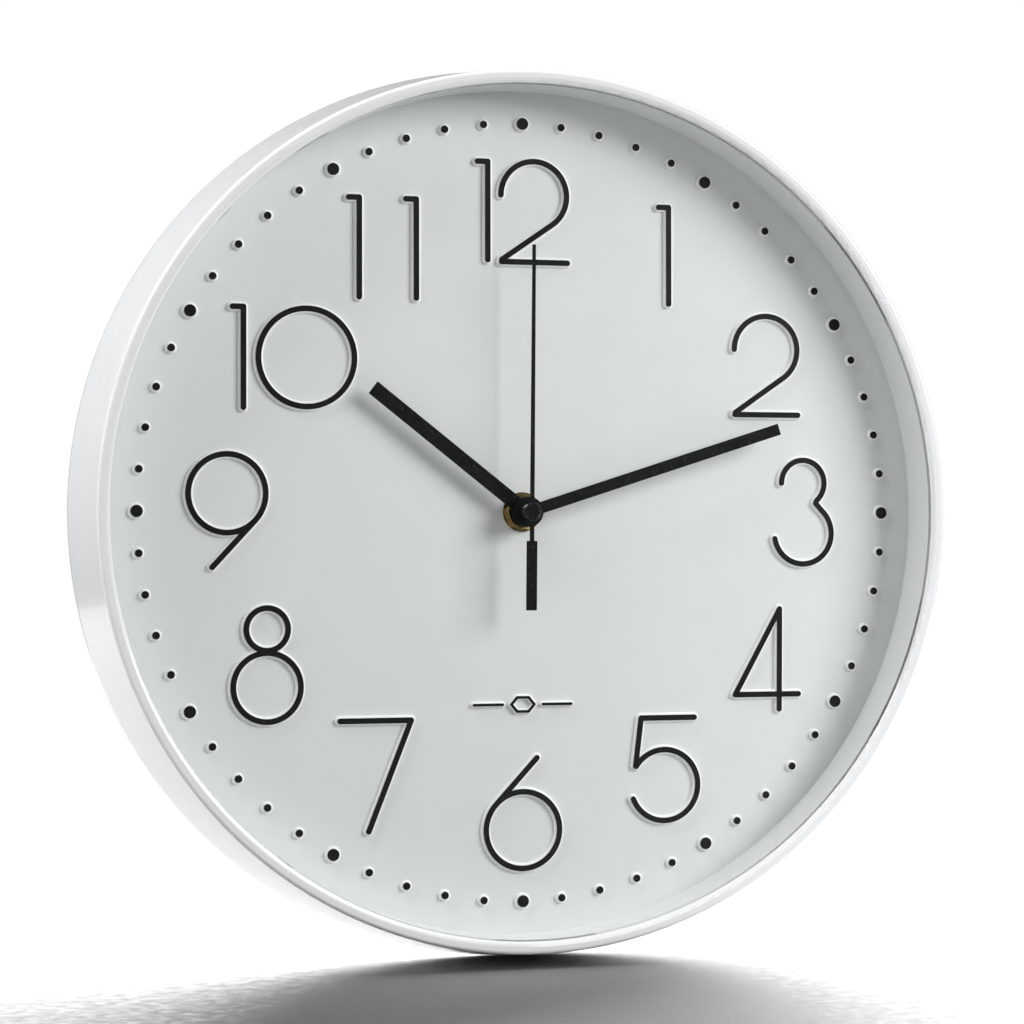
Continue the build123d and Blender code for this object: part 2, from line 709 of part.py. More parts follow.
# ---------------------------------------------------------------- movement box
BEARING_R = PIVOT_R + RUN
CLIP_Y = (-4.0, 16.0)


def box_shell(low, high):
    """The four outer walls and the wall above the battery bay."""
    walls = slab(BOX, BOX, low, high, corner=BOX_CORNER_R)
    walls -= slab(BOX - 2 * BOX_WALL, BOX - 2 * BOX_WALL, low - 1, high + 1, corner=BOX_CORNER_R - BOX_WALL)
    reach = BOX / 2 - BOX_WALL - STRIP_GAP
    return walls + block(-reach, reach, BAY_TOP_Y, BAY_TOP_Y + PARTITION, low, high)


def box_floor(bottom, top, low, high):
    """A floor between the outer walls, from one height on the dial to another."""
    side = BOX - BOX_WALL
    whole = slab(side, side, low, high, corner=BOX_CORNER_R - BOX_WALL / 2)
    return whole & block(-BOX, BOX, bottom, top, low, high)


def front_housing():
    shell = box_shell(BOX_SEAM_Z, BOX_FRONT_Z)
    floor = box_floor(BAY_TOP_Y, BOX, FLOOR_FRONT_Z, BOX_FRONT_Z)
    bay_floor = box_floor(-BOX, BAY_TOP_Y, BOX_FRONT_Z - BAY_FLOOR, BOX_FRONT_Z)
    bearings = [
        rod(BEARING_R, FLOOR_FRONT_Z - 1, PIVOT_FRONT_Z + 0.2, axis)
        for axis in (STEP_AXIS, ROTOR_AXIS, THIRD_AXIS, MINUTE_AXIS)
    ]
    bushing_hole = rod(BUSHING_R + RUN, FLOOR_FRONT_Z - 1, BOX_FRONT_Z + 1)
    return shell + [floor, bay_floor] - bushing_hole - bearings


def clip(side, y):
    """A snap clip that holds the rear housing on the front one."""
    wall = BOX / 2 * side
    tongue = block(*sorted((wall - 0.3 * side, wall + 1.0 * side)), y - 3, y + 3, BOX_SEAM_Z - 5, BOX_SEAM_Z)
    return tongue + block(*sorted((wall, wall + 1.0 * side)), y - 3, y + 3, BOX_SEAM_Z, BOX_SEAM_Z + 3)


def rear_housing():
    shell = box_shell(BOX_REAR_Z, BOX_SEAM_Z)
    floor = box_floor(BAY_TOP_Y, BOX, BOX_REAR_Z, FLOOR_REAR_Z)
    cup = rod(KNOB_CUP_R + 0.8, BOX_REAR_Z, KNOB_CUP_FLOOR[1], MINUTE_AXIS)
    recess = rod(KNOB_CUP_R, BOX_REAR_Z - 1, KNOB_CUP_FLOOR[0], MINUTE_AXIS)
    shaft_hole = rod(KNOB_SHAFT_R + RUN, 0, KNOB_CUP_FLOOR[1] + 1, MINUTE_AXIS)
    bearings = [
        rod(BEARING_R, PIVOT_REAR_Z - 0.2, FLOOR_REAR_Z + 1, axis)
        for axis in (CENTRE, STEP_AXIS, ROTOR_AXIS, THIRD_AXIS)
    ]
    clips = [clip(side, y) for side in (-1, 1) for y in CLIP_Y]
    return shell + [floor, cup] + clips - [recess, shaft_hole] - bearings


# ---------------------------------------------------------------- motor, circuit and battery
MAGNET_R, MAGNET_Z = 3.0, (8.8, 11.2)
STATOR_Z = (9.6, 10.4)
CORE_Y, CORE_HALF_LENGTH = 22.3, 16.5
CORE_Z = (10.4, 11.2)
COIL_HALF, COIL_R, COIL_TUBE_R = 11.5, 3.2, 1.9
FLANGE = 0.8
COIL_Z = 10.8
BOARD_Z = (4.4, 5.4)


def rotor_magnet():
    return ring(MAGNET_R, ARBOR_R, *MAGNET_Z, axis=ROTOR_AXIS)


def stator():
    """Soft iron plate round the rotor, with two arms up to the coil's core."""
    low, high = STATOR_Z
    plate = block(-16.5, 16.5, 12.0, 16.6, low, high) + rod(4.6, low, high, ROTOR_AXIS)
    arms = [block(*sorted((side * 12.6, side * 16.5)), 12.0, CORE_Y + 2, low, high) for side in (-1, 1)]
    return plate + arms - rod(MAGNET_R + 0.5, low - 1, high + 1, ROTOR_AXIS)


def coil_core():
    """Flat iron bar through the coil, resting on the stator's arms."""
    return block(-CORE_HALF_LENGTH, CORE_HALF_LENGTH, CORE_Y - 1.0, CORE_Y + 1.0, *CORE_Z)


def along_x(radius, start, end, inner=0.0):
    """A round bar or tube lying along X on the coil's axis."""
    outline = Circle(radius) - Circle(inner) if inner else Circle(radius)
    return Pos(start, CORE_Y, COIL_Z) * Rot(0, 90, 0) * extrude(outline, amount=end - start)


def coil_bobbin():
    body = along_x(COIL_TUBE_R, -COIL_HALF, COIL_HALF)
    ends = [along_x(COIL_R + 0.3, start, start + FLANGE) for start in (-COIL_HALF, COIL_HALF - FLANGE)]
    slot = block(-COIL_HALF - 1, COIL_HALF + 1, CORE_Y - 1.0, CORE_Y + 1.0, *CORE_Z)
    return body + ends - slot


def coil_winding():
    return along_x(COIL_R, FLANGE - COIL_HALF, COIL_HALF - FLANGE, COIL_TUBE_R)


def circuit_board():
    return block(8.0, 25.4, 9.8, 25.4, *BOARD_Z)


def crystal():
    """Round quartz can lying on the board."""
    return Pos(17.5, 12.0, BOARD_Z[1] + 1.0) * Rot(0, 90, 0) * Cylinder(1.0, 6.0)


def chip_blob():
    """A drop of black resin over the chip."""
    return turned([(0, BOARD_Z[1]), (2.6, BOARD_Z[1]), (2.2, 6.1), (1.2, 6.5), (0, 6.6)], (13.0, 14.5))


CELL_Y, CELL_Z = -19.0, 9.3
CELL_LEFT = -24.5


def lying(radius, start, end):
    """A round bar along X in the battery bay."""
    return Pos(start, CELL_Y, CELL_Z) * Rot(0, 90, 0) * extrude(Circle(radius), amount=end - start)


def battery_cell():
    end = CELL_LEFT + CELL_LENGTH
    body = fillet(lying(CELL_R, CELL_LEFT, end).edges().filter_by(GeomType.CIRCLE), 0.6)
    return body + lying(NUB_R, end, end + NUB_LENGTH)


def positive_contact():
    """Strip behind the cell's raised end, led past the bay's wall to the board."""
    left, right = BOX / 2 - BOX_WALL - CONTACT, BOX / 2 - BOX_WALL
    plate = block(CELL_LEFT + CELL_LENGTH + NUB_LENGTH, right, -24, -14, 5, 14)
    return plate + block(left, right, -14, 9.6, 6.0, 9.0)


def negative_contact():
    """Strip with a coned spring that presses on the cell's flat end."""
    left, right = BOX_WALL - BOX / 2, BOX_WALL - BOX / 2 + CONTACT
    spring = Pos(right, CELL_Y, CELL_Z) * Rot(0, 90, 0) * Cone(
        3.5, 2.0, CELL_LEFT - right, align=(Align.CENTER, Align.CENTER, Align.MIN)
    )
    return block(left, right, -24, -14, 5, 14) + block(left, right, -14, 9.6, 6.0, 9.0) + spring


# ---------------------------------------------------------------- write every piece
def main():
    os.makedirs("parts", exist_ok=True)

    save("case_ring", case_ring())
    save("lens", rod(STACK_R, LENS_REAR_Z, LIP_REAR_Z))
    save("spacer_ring", ring(STACK_R, RING_WALL_R, DIAL_FACE_Z, LENS_REAR_Z))
    save("back_cover", back_cover())
    save("dial_support", ring(SUPPORT_R[1], SUPPORT_R[0], COVER_THICKNESS, DIAL_BACK_Z))
    save("back_cover_screws", Part() + all_round(SCREW_COUNT, SCREW_CIRCLE_R, case_screw))

    save("dial_plate", dial_plate())
    for hour in NUMERALS:
        save(f"numeral_{hour}", ink(numeral_strokes(hour)))
    save("dial_motif", ink(motif_strokes(), MOTIF_STROKE))
    save("hour_dots", dots(HOUR_DOT_R, True))
    save("minute_dots", dots(MINUTE_DOT_R, False))

    save("hour_hand", blade(HOUR_LENGTH, HOUR_WIDTH, 3.0, HOUR_BLADE_Z, HOUR_ANGLE))
    save("hour_hand_hub", hand_hub(HOUR_TUBE_R, 3.0, 3.6, 24.7, HOUR_BLADE_Z, HOUR_BLADE_Z[1] + 0.5))
    save("minute_hand", blade(MINUTE_LENGTH, MINUTE_WIDTH, 2.1, MINUTE_BLADE_Z, MINUTE_ANGLE))
    save("minute_hand_hub", hand_hub(MINUTE_TUBE_R, 2.1, 2.9, 27.6, MINUTE_BLADE_Z, 29.9))
    save("second_hand", second_blade())
    save("second_hand_cap", second_cap())

    save("threaded_bushing", threaded_bushing())
    save("rubber_washer", ring(9.0, BUSHING_R + 0.2, BOX_FRONT_Z, DIAL_BACK_Z))
    save("nut_washer", ring(NUT_WASHER_R, BUSHING_R + 0.2, DIAL_FACE_Z, DIAL_FACE_Z + NUT_WASHER))
    save("hex_nut", hex_nut())

    save("movement_front_housing", front_housing())
    save("movement_rear_housing", rear_housing())
    save("rotor_magnet", rotor_magnet())
    save("rotor_pinion", rotor_pinion())
    save("step_wheel", step_wheel())
    save("second_wheel", second_wheel())
    save("third_wheel", third_wheel())
    save("centre_wheel", centre_wheel())
    save("clutch_spring", clutch_spring())
    save("cannon_pinion", cannon_pinion())
    save("minute_wheel", minute_wheel())
    save("hour_wheel", hour_wheel())
    save("setting_knob", setting_knob())

    save("stator", stator())
    save("coil_core", coil_core())
    save("coil_bobbin", coil_bobbin())
    save("coil_winding", coil_winding())
    save("circuit_board", circuit_board())
    save("quartz_crystal", crystal())
    save("chip_blob", chip_blob())
    save("battery_cell", battery_cell())
    save("battery_positive_contact", positive_contact())
    save("battery_negative_contact", negative_contact())


main()
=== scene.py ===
import json
from math import asin, atan2, cos, degrees, hypot, pi, radians, sin

import bmesh
import bpy
from mathutils import Matrix, Vector


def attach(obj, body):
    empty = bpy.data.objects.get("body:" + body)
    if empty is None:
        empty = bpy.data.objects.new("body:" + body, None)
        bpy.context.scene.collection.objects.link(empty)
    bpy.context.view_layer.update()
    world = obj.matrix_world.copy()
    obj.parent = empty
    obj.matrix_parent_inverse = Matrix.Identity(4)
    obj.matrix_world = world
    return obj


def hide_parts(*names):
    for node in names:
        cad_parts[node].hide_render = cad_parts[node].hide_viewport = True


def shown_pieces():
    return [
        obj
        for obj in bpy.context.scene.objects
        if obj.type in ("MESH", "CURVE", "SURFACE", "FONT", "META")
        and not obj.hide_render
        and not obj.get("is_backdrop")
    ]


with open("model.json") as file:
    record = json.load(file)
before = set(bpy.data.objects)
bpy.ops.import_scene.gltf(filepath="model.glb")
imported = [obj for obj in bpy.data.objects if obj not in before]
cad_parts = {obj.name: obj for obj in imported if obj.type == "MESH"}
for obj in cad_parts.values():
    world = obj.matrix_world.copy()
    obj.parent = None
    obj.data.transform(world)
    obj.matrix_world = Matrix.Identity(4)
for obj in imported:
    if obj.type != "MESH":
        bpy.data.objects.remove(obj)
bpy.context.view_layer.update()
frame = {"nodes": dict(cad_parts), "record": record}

MM = 0.001

# ---------------------------------------------------------------- node helpers
def new_material(name):
    """An empty material with its output node."""
    material = bpy.data.materials.new(name)
    material.use_nodes = True
    tree = material.node_tree
    tree.nodes.clear()
    output = tree.nodes.new("ShaderNodeOutputMaterial")
    return material, tree, output


def add(tree, kind, inputs=None, **settings):
    """A node with settings, and with its inputs set to values or linked to sockets."""
    node = tree.nodes.new(kind)
    for key, value in settings.items():
        setattr(node, key, value)
    for key, value in (inputs or {}).items():
        socket = node.inputs[key]
        if isinstance(value, bpy.types.NodeSocket):
            tree.links.new(value, socket)
        else:
            socket.default_value = value
    return node


def place(tree, stretch=(1, 1, 1)):
    """The point on the object in metres, stretched along each axis."""
    coordinates = add(tree, "ShaderNodeTexCoord")
    mapping = add(tree, "ShaderNodeMapping", {"Vector": coordinates.outputs["Object"], "Scale": stretch})
    return mapping.outputs["Vector"]


def noise(tree, size_mm, detail=2.0, stretch=(1, 1, 1)):
    """Noise whose features are about size_mm across."""
    inputs = {
        "Vector": place(tree, stretch),
        "Scale": 1 / (size_mm * MM),
        "Detail": detail,
    }
    return add(tree, "ShaderNodeTexNoise", inputs).outputs["Fac"]


def remap(tree, value, low, high, to_low=0.0, to_high=1.0):
    inputs = {"Value": value, "From Min": low, "From Max": high, "To Min": to_low, "To Max": to_high}
    return add(tree, "ShaderNodeMapRange", inputs).outputs["Result"]


def mix_colour(tree, share, first, second):
    node = add(tree, "ShaderNodeMix", data_type="RGBA")
    for socket, value in ((node.inputs[0], share), (node.inputs[6], first), (node.inputs[7], second)):
        if isinstance(value, bpy.types.NodeSocket):
            tree.links.new(value, socket)
        else:
            socket.default_value = value if socket is node.inputs[0] else (*value, 1)
    return node.outputs[2]


def bump(tree, height, depth_mm, below=None):
    inputs = {"Height": height, "Distance": depth_mm * MM, "Strength": 1.0}
    if below is not None:
        inputs["Normal"] = below
    return add(tree, "ShaderNodeBump", inputs).outputs["Normal"]


def tinted(colour, factor):
    return tuple(min(1.0, c * factor) for c in colour)


def moulded(
    name, colour, roughness, grain_mm, grain_depth,
    wave_depth=0.0, speck=0.0, coat=0.0, mottle=0.03, shine=0.5,
):
    """Moulded plastic or paint: faint mottling, uneven gloss, a fine grain and a slow waviness."""
    material, tree, output = new_material(name)
    slow = noise(tree, 22.0, 3.0)
    dark, light = tinted(colour, 1 - mottle), tinted(colour, 1 + mottle)
    base = mix_colour(tree, remap(tree, slow, 0.3, 0.7), dark, light)
    if speck:
        dust = remap(tree, noise(tree, 0.5, 0.0), 0.76, 0.80)
        base = mix_colour(tree, dust, base, (speck, speck, speck))
    gloss = remap(tree, noise(tree, 5.0, 3.0), 0.25, 0.75, roughness * 0.82, roughness * 1.18)
    normal = bump(tree, noise(tree, grain_mm, 2.0), grain_depth)
    if wave_depth:
        normal = bump(tree, noise(tree, 14.0, 1.0), wave_depth, normal)
    shader = add(
        tree,
        "ShaderNodeBsdfPrincipled",
        {
            "Base Color": base,
            "Roughness": gloss,
            "Normal": normal,
            "Specular IOR Level": shine,
            "Coat Weight": coat,
            "Coat Roughness": 0.08,
        },
    )
    tree.links.new(shader.outputs[0], output.inputs[0])
    return material


def metal(name, colour, roughness, stretch=(1, 1, 1), line_mm=0.12, depth=0.004, tarnish=0.25):
    """Bare metal with tool lines, uneven tarnish and uneven gloss."""
    material, tree, output = new_material(name)
    patches = remap(tree, noise(tree, 3.0, 4.0), 0.35, 0.7)
    base = mix_colour(tree, patches, colour, tinted(colour, 1 - tarnish))
    lines = noise(tree, line_mm, 1.0, stretch)
    gloss = remap(tree, lines, 0.3, 0.7, roughness * 0.7, roughness * 1.3)
    shader = add(
        tree,
        "ShaderNodeBsdfPrincipled",
        {"Base Color": base, "Roughness": gloss, "Metallic": 1.0, "Normal": bump(tree, lines, depth)},
    )
    tree.links.new(shader.outputs[0], output.inputs[0])
    return material


def clear_pane(name):
    """Clear flat glass that lets the light straight through and shows a faint smeared reflection."""
    material, tree, output = new_material(name)
    smear = remap(tree, noise(tree, 18.0, 4.0, (1, 1, 0.4)), 0.35, 0.75, 0.02, 0.07)
    glossy = add(tree, "ShaderNodeBsdfGlossy", {"Color": (1, 1, 1, 1), "Roughness": smear})
    clear = add(tree, "ShaderNodeBsdfTransparent", {"Color": (0.995, 1, 0.998, 1)})
    facing = add(tree, "ShaderNodeLayerWeight", {"Blend": 0.5}).outputs["Facing"]
    steep = add(tree, "ShaderNodeMath", {0: facing, 1: 5.0}, operation="POWER").outputs[0]
    edge = remap(tree, steep, 0.0, 1.0, 0.004, 0.5)
    both = add(tree, "ShaderNodeMixShader", {0: edge, 1: clear.outputs[0], 2: glossy.outputs[0]})
    tree.links.new(both.outputs[0], output.inputs[0])
    return material


# ---------------------------------------------------------------- mesh helpers
# a direction that no wire runs along
ACROSS_WIRES = Vector((0.31, 0.27, 0.91))


def mesh_object(name, points, faces):
    """A mesh from points in metres, with its faces turned outward."""
    mesh = bpy.data.meshes.new(name)
    mesh.from_pydata([tuple(p) for p in points], [], faces)
    outward = bmesh.new()
    outward.from_mesh(mesh)
    bmesh.ops.recalc_face_normals(outward, faces=outward.faces)
    outward.to_mesh(mesh)
    outward.free()
    mesh.update()
    made = bpy.data.objects.new(name, mesh)
    bpy.context.scene.collection.objects.link(made)
    return made


class Shell:
    """Points and faces gathered for one mesh, in millimetres: across, up, and out from the wall."""

    def __init__(self):
        self.points = []
        self.faces = []

    def loop(self, points):
        """Adds a ring of points and returns their numbers."""
        start = len(self.points)
        self.points += [(x * MM, -z * MM, y * MM) for x, y, z in points]
        return list(range(start, len(self.points)))

    def band(self, first, second, closed=True):
        """Quads between two rings with the same count."""
        count = len(first)
        for i in range(count if closed else count - 1):
            k = (i + 1) % count
            self.faces.append((first[i], first[k], second[k], second[i]))

    def loft(self, rings):
        for first, second in zip(rings, rings[1:]):
            self.band(first, second)

    def folded_cap(self, ring, flip=False):
        """Closes a ring whose points pair up from its two ends."""
        count = len(ring)
        for i in range(count // 2 - 1):
            face = (ring[i], ring[i + 1], ring[count - 2 - i], ring[count - 1 - i])
            self.faces.append(tuple(reversed(face)) if flip else face)

    def turned(self, profile, centre=(0, 0), steps=48):
        """A closed profile of (radius, off the wall) turned about a point on the dial."""
        cx, cy = centre
        turns = [2 * pi * i / steps for i in range(steps)]
        rings = [self.loop([(cx + r * cos(t), cy + r * sin(t), z) for t in turns]) for r, z in profile]
        self.loft(rings + rings[:1])

    def turned_across(self, profile, centre, steps=64):
        """A closed profile of (radius, x) turned about a line along X through (y, off the wall)."""
        y, z = centre
        turns = [2 * pi * i / steps for i in range(steps)]
        rings = [self.loop([(x, y + r * cos(t), z + r * sin(t)) for t in turns]) for r, x in profile]
        self.loft(rings + rings[:1])

    def wire(self, path, radius, steps=10):
        """A round wire along a path of points, with closed ends."""
        rings = []
        for i, point in enumerate(path):
            before, after = Vector(path[max(i - 1, 0)]), Vector(path[min(i + 1, len(path) - 1)])
            along = (after - before).normalized()
            side = along.cross(ACROSS_WIRES).normalized()
            up = side.cross(along)
            turns = [2 * pi * k / steps for k in range(steps)]
            rings.append(self.loop([Vector(point) + (side * cos(t) + up * sin(t)) * radius for t in turns]))
        self.loft(rings)
        self.faces += [tuple(rings[-1]), tuple(reversed(rings[0]))]

    def finish(self, name, material, body, stands_for=(), sharp=40):
        made = mesh_object(name, self.points, self.faces)
        dress(made, material, sharp)
        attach(made, body)
        if stands_for:
            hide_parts(*stands_for)
        return made


def dress(piece, material, sharp=28):
    """Gives a piece its material and smooths its surface up to the sharp edges."""
    piece.data.materials.clear()
    piece.data.materials.append(MATERIALS[material])
    piece.data.shade_smooth()
    piece.data.set_sharp_from_angle(angle=radians(sharp))


# colour, roughness, grain size and grain depth in millimetres, and what else sets each one apart
MOULDED = {
    "white_gloss_plastic": (
        (0.84, 0.845, 0.855), 0.22, 1.2, 0.003, {"wave_depth": 0.02, "coat": 0.35, "mottle": 0.012}
    ),
    "white_matt_plastic": ((0.76, 0.77, 0.76), 0.55, 0.5, 0.03, {"wave_depth": 0.02, "mottle": 0.02}),
    # the raised marks' white: partly their own white, partly a painted highlight that lightens every mark's
    # edge in light and shade alike
    "raised_white_painted_highlight": ((0.93, 0.93, 0.93), 0.35, 0.5, 0.006, {"mottle": 0.01}),
    "dial_white": ((0.77, 0.787, 0.79), 0.42, 0.6, 0.008, {"wave_depth": 0.01, "mottle": 0.012}),
    "mark_black": ((0.007, 0.007, 0.009), 0.35, 0.4, 0.006, {"mottle": 0.2, "shine": 0.25}),
    "hand_black": (
        (0.005, 0.005, 0.006), 0.42, 0.35, 0.01,
        {"wave_depth": 0.01, "speck": 0.16, "mottle": 0.2, "shine": 0.15},
    ),
    "hub_black": ((0.008, 0.008, 0.009), 0.16, 0.3, 0.002, {"speck": 0.05, "mottle": 0.2}),
    "rubber_black": ((0.02, 0.02, 0.02), 0.8, 0.4, 0.03, {"mottle": 0.2}),
    "movement_black": (
        (0.022, 0.022, 0.024), 0.52, 0.45, 0.03, {"wave_depth": 0.03, "speck": 0.05, "mottle": 0.15}
    ),
    "gear_nylon": ((0.78, 0.75, 0.66), 0.42, 0.5, 0.01, {"mottle": 0.04}),
    "knob_red": ((0.55, 0.04, 0.03), 0.4, 0.5, 0.012, {"speck": 0.5, "mottle": 0.06}),
    "bobbin_white": ((0.74, 0.73, 0.68), 0.45, 0.5, 0.012, {"mottle": 0.03}),
    "board_green": ((0.03, 0.17, 0.07), 0.3, 0.6, 0.01, {"mottle": 0.15}),
    "resin_black": ((0.01, 0.01, 0.01), 0.16, 0.8, 0.01, {"wave_depth": 0.05, "mottle": 0.2}),
    "battery_jacket": ((0.10, 0.17, 0.30), 0.24, 0.8, 0.004, {"coat": 0.5, "mottle": 0.05}),
}
# colour, roughness, and the tool lines and tarnish of each one
METAL = {
    "brass": ((0.58, 0.44, 0.19), 0.20, {"tarnish": 0.4}),
    "magnet_grey": ((0.16, 0.16, 0.17), 0.5, {"line_mm": 0.2, "depth": 0.02}),
    "iron": ((0.36, 0.36, 0.37), 0.38, {"stretch": (0.1, 1, 1), "line_mm": 0.15}),
    "copper_wire": ((0.62, 0.26, 0.11), 0.28, {"line_mm": 0.2}),
    "zinc_steel": ((0.55, 0.56, 0.58), 0.28, {"stretch": (0.15, 1, 1), "line_mm": 0.12}),
}
MATERIALS = {"clear_lens": clear_pane("clear_lens")}
MATERIALS |= {name: moulded(name, *plain, **special) for name, (*plain, special) in MOULDED.items()}
MATERIALS |= {name: metal(name, *plain, **special) for name, (*plain, special) in METAL.items()}

for part in frame["record"]["subparts"]:
    node = frame["nodes"][part["node"]]
    dress(node, part["material_slot"])


# ---------------------------------------------------------------- dial with rounded relief
DIAL_FACE, DIAL_BACK, DIAL_R, DIAL_HOLE_R, HOLE_CHAMFER = 20.9, 18.9, 142.7, 4.2, 0.15
# rings that divide the flat face between its rim and its hole
FACE_RINGS = (90, 45)
# a ridge's side from foot to top: how far outside the ridge's own width, and how high
RELIEF_PROFILE = (
    (0.22, -0.10), (0.12, 0.0), (0.04, 0.05), (0.0, 0.13), (-0.10, 0.42),
    (-0.20, 0.74), (-0.25, 0.88), (-0.33, 0.99), (-0.45, 1.07), (-0.60, 1.10),
)
STROKE_HALF, MOTIF_HALF = 1.6, 0.95
DOT_CIRCLE_R, HOUR_DOT_R, MINUTE_DOT_R, DOT_MARGIN = 130.0, 2.0, 1.25, 0.7
# the radius at which a dot's ends close on its axis
DOT_PIN_R = 0.02
CAP_STEPS = 12
ARC_STEP = 4.0
# strokes that cross differ in height by this share, so that their tops never coincide
STAGGER = 0.0015

DIGIT_HEIGHT, BOWL_R, TAIL = 32.8, 12.8, (4.9, 24.05)
TWO_R, THREE_TOP_R, THREE_LOW_R, FIVE_R = 11.5, 7.85, 10.5, 12
EIGHT_LOW_R, EIGHT_TOP_R, NOUGHT_R = 11.25, 6.95, 16.1
FOUR_PEAK, FOUR_BAR_Y = (16.3, 34.3), 5.1
FIVE_BAR, SEVEN_BAR_END = (3.7, 34.8), (24.1, 36.4)


def on_circle(centre, radius, angle):
    return centre[0] + radius * cos(radians(angle)), centre[1] + radius * sin(radians(angle))


def touching(centre, radius, point, side=1):
    """The angle at which the line from a point touches a circle."""
    dx, dy = point[0] - centre[0], point[1] - centre[1]
    return degrees(atan2(dy, dx)) + side * (90 - degrees(asin(radius / hypot(dx, dy))))


def digit_strokes():
    """Centre lines of the ten digits from each one's lower left corner, as the part draws them."""
    two, three_top, three_low = (11.3, 22.3), (THREE_LOW_R, 27.8), (THREE_LOW_R, THREE_LOW_R)
    foot, waist = (0.1, 0.7), (15.2, 20.9)
    two_touch = touching(two, TWO_R, foot)
    bowl = (BOWL_R, BOWL_R)
    six_tip = (bowl[0] + TAIL[0], bowl[1] + TAIL[1])
    high = (BOWL_R, TAIL[1] + 0.4)
    nine_tip = (high[0] - TAIL[0], high[1] - TAIL[1])
    return {
        "1": [("line", (-3.6, DIGIT_HEIGHT), (0, DIGIT_HEIGHT)), ("line", (0, DIGIT_HEIGHT), (0, 0))],
        "2": [
            ("arc", two, TWO_R, two_touch, 180),
            ("line", on_circle(two, TWO_R, two_touch), foot),
            ("line", (0, 0), (23.1, 0)),
        ],
        "3": [
            ("arc", three_top, THREE_TOP_R, -50, 180),
            ("line", on_circle(three_top, THREE_TOP_R, -50), waist),
            ("line", waist, on_circle(three_low, THREE_LOW_R, 48)),
            ("arc", three_low, THREE_LOW_R, -170, 48),
        ],
        "4": [
            ("line", FOUR_PEAK, (0, FOUR_BAR_Y)),
            ("line", (0, FOUR_BAR_Y), (23.2, FOUR_BAR_Y)),
            ("line", FOUR_PEAK, (16.1, 0)),
        ],
        "5": [
            ("line", FIVE_BAR, (22.8, FIVE_BAR[1])),
            ("line", FIVE_BAR, (1.7, 18.6)),
            ("arc", (FIVE_R, FIVE_R), FIVE_R, -158, 147),
        ],
        "6": [
            ("ring", bowl, BOWL_R),
            ("line", six_tip, on_circle(bowl, BOWL_R, touching(bowl, BOWL_R, six_tip))),
        ],
        "7": [("line", (0, SEVEN_BAR_END[1]), SEVEN_BAR_END), ("line", SEVEN_BAR_END, (9.7, 0))],
        "8": [
            ("ring", (EIGHT_LOW_R, EIGHT_LOW_R), EIGHT_LOW_R),
            ("ring", (EIGHT_LOW_R, 30.2), EIGHT_TOP_R),
        ],
        "9": [
            ("ring", high, BOWL_R),
            ("line", nine_tip, on_circle(high, BOWL_R, touching(high, BOWL_R, nine_tip))),
        ],
        "0": [("ring", (NOUGHT_R, NOUGHT_R), NOUGHT_R)],
    }


# each digit on the dial and the place of its lower left corner
DIGIT_PLACES = (
    ("1", 51.9, 70.8), ("2", 75.9, 33.55), ("3", 90.3, -17.6), ("4", 75.8, -67.3), ("5", 38.1, -104.4),
    ("6", -12.8, -119.05), ("7", -62.7, -105.3), ("8", -98.35, -68.7), ("9", -113.2, -18.6),
    ("1", -95.0, 33.9), ("0", -90.05, 34.35), ("1", -56.2, 70.8), ("1", -36.75, 70.8),
    ("1", -12.1, 84.2), ("2", -7.3, 83.7),
)
MOTIF_Y, MOTIF_RADII, BAR_START, BAR_END = -64.3, (4.0, 2.7), 7.0, 17.0


def motif_strokes():
    """A flattened hexagon between two short bars."""
    wide, tall = MOTIF_RADII
    turns = [radians(angle) for angle in range(0, 360, 60)]
    corners = [(wide * cos(t), MOTIF_Y + tall * sin(t)) for t in turns]
    sides = [("line", corners[i - 1], corners[i]) for i in range(6)]
    return sides + [("line", (side * BAR_START, MOTIF_Y), (side * BAR_END, MOTIF_Y)) for side in (-1, 1)]


def centre_line(stroke):
    """Points along a stroke, each with the direction of its left side."""
    if stroke[0] == "line":
        (x0, y0), (x1, y1) = stroke[1:]
        length = hypot(x1 - x0, y1 - y0)
        left = (-(y1 - y0) / length, (x1 - x0) / length)
        return [((x0, y0), left), ((x1, y1), left)]
    centre, radius, low, high = stroke[1:]
    steps = max(4, int((high - low) / ARC_STEP))
    angles = [radians(low + (high - low) * i / steps) for i in range(steps + 1)]
    return [((centre[0] + radius * cos(a), centre[1] + radius * sin(a)), (-cos(a), -sin(a))) for a in angles]


def rounded_end(point, start, offset, z):
    """Points round the end of a stroke, from one side of it to the other, without the two sides."""
    (x, y), (nx, ny) = point, start
    turns = [pi * i / CAP_STEPS for i in range(1, CAP_STEPS)]
    return [
        (x + offset * (nx * cos(t) + ny * sin(t)), y + offset * (ny * cos(t) - nx * sin(t)), z)
        for t in turns
    ]


def stroke_ring(line, offset, z):
    """The outline at an offset from a centre line: up its left side, round the end, and back."""
    left = [(x + nx * offset, y + ny * offset, z) for (x, y), (nx, ny) in line]
    right = [(x - nx * offset, y - ny * offset, z) for (x, y), (nx, ny) in reversed(line)]
    far = rounded_end(*line[-1], offset, z)
    start, (nx, ny) = line[0]
    near = rounded_end(start, (-nx, -ny), offset, z)
    # starts halfway round the near end, so that the points pair up from both ends
    half = len(near) // 2
    return near[half + 1:] + left + far + right + near[:half + 1]


